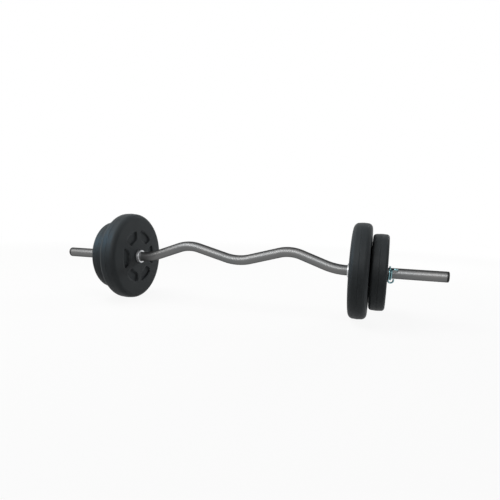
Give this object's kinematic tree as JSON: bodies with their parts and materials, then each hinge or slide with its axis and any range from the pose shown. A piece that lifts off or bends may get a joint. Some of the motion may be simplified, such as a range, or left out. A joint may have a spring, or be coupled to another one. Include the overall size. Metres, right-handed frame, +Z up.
{
  "type": "ez curl bar",
  "caption": "Bent steel curl bar loaded with round black moulded plates and held by wound wire spring collars, with stop rings inside and plastic caps on the ends.",
  "frame": {"origin": "on the floor under the middle of the bar", "axes": "+X along the bar, +Z up through the humps, +Y to the back; the bar's axis is 137.3 mm up"},
  "size_m": [1.212, 0.2746, 0.2746],
  "materials": {
    "bar_steel": "satin",
    "ring_steel": "polished",
    "pin_steel": "satin",
    "cap_plastic": "matte",
    "plate_plastic": "matte",
    "plug_plastic": "matte",
    "cement_filling": "rough",
    "spring_chrome": "polished"
  },
  "bodies": {
    "bar": {"bar_tube": "bar_steel", "left_inner_collar": "ring_steel", "left_collar_pin": "pin_steel", "left_end_cap": "cap_plastic", "right_inner_collar": "ring_steel", "right_collar_pin": "pin_steel", "right_end_cap": "cap_plastic"},
    "left_large_plate": {"left_large_inner_shell": "plate_plastic", "left_large_outer_shell": "plate_plastic", "left_large_core": "cement_filling", "left_large_filler_plug": "plug_plastic"},
    "left_small_plate": {"left_small_inner_shell": "plate_plastic", "left_small_outer_shell": "plate_plastic", "left_small_core": "cement_filling", "left_small_filler_plug": "plug_plastic"},
    "left_spring_collar": {"left_spring_collar": "spring_chrome"},
    "right_large_plate": {"right_large_inner_shell": "plate_plastic", "right_large_outer_shell": "plate_plastic", "right_large_core": "cement_filling", "right_large_filler_plug": "plug_plastic"},
    "right_small_plate": {"right_small_inner_shell": "plate_plastic", "right_small_outer_shell": "plate_plastic", "right_small_core": "cement_filling", "right_small_filler_plug": "plug_plastic"},
    "right_spring_collar": {"right_spring_collar": "spring_chrome"}
  },
  "joints": [
    {"name": "left_large_plate_spin", "type": "hinge", "parent": "bar", "child": "left_large_plate", "pos_m": [0, 0, 0.1373], "axis": [1, 0, 0], "continuous": true},
    {"name": "left_small_plate_spin", "type": "hinge", "parent": "bar", "child": "left_small_plate", "pos_m": [0, 0, 0.1373], "axis": [1, 0, 0], "continuous": true},
    {"name": "left_spring_collar_slide", "type": "slide", "parent": "bar", "child": "left_spring_collar", "axis": [-1, 0, 0], "range_m": [0, 0.14]},
    {"name": "right_large_plate_spin", "type": "hinge", "parent": "bar", "child": "right_large_plate", "pos_m": [0, 0, 0.1373], "axis": [1, 0, 0], "continuous": true},
    {"name": "right_small_plate_spin", "type": "hinge", "parent": "bar", "child": "right_small_plate", "pos_m": [0, 0, 0.1373], "axis": [1, 0, 0], "continuous": true},
    {"name": "right_spring_collar_slide", "type": "slide", "parent": "bar", "child": "right_spring_collar", "axis": [1, 0, 0], "range_m": [0, 0.14]}
  ]
}
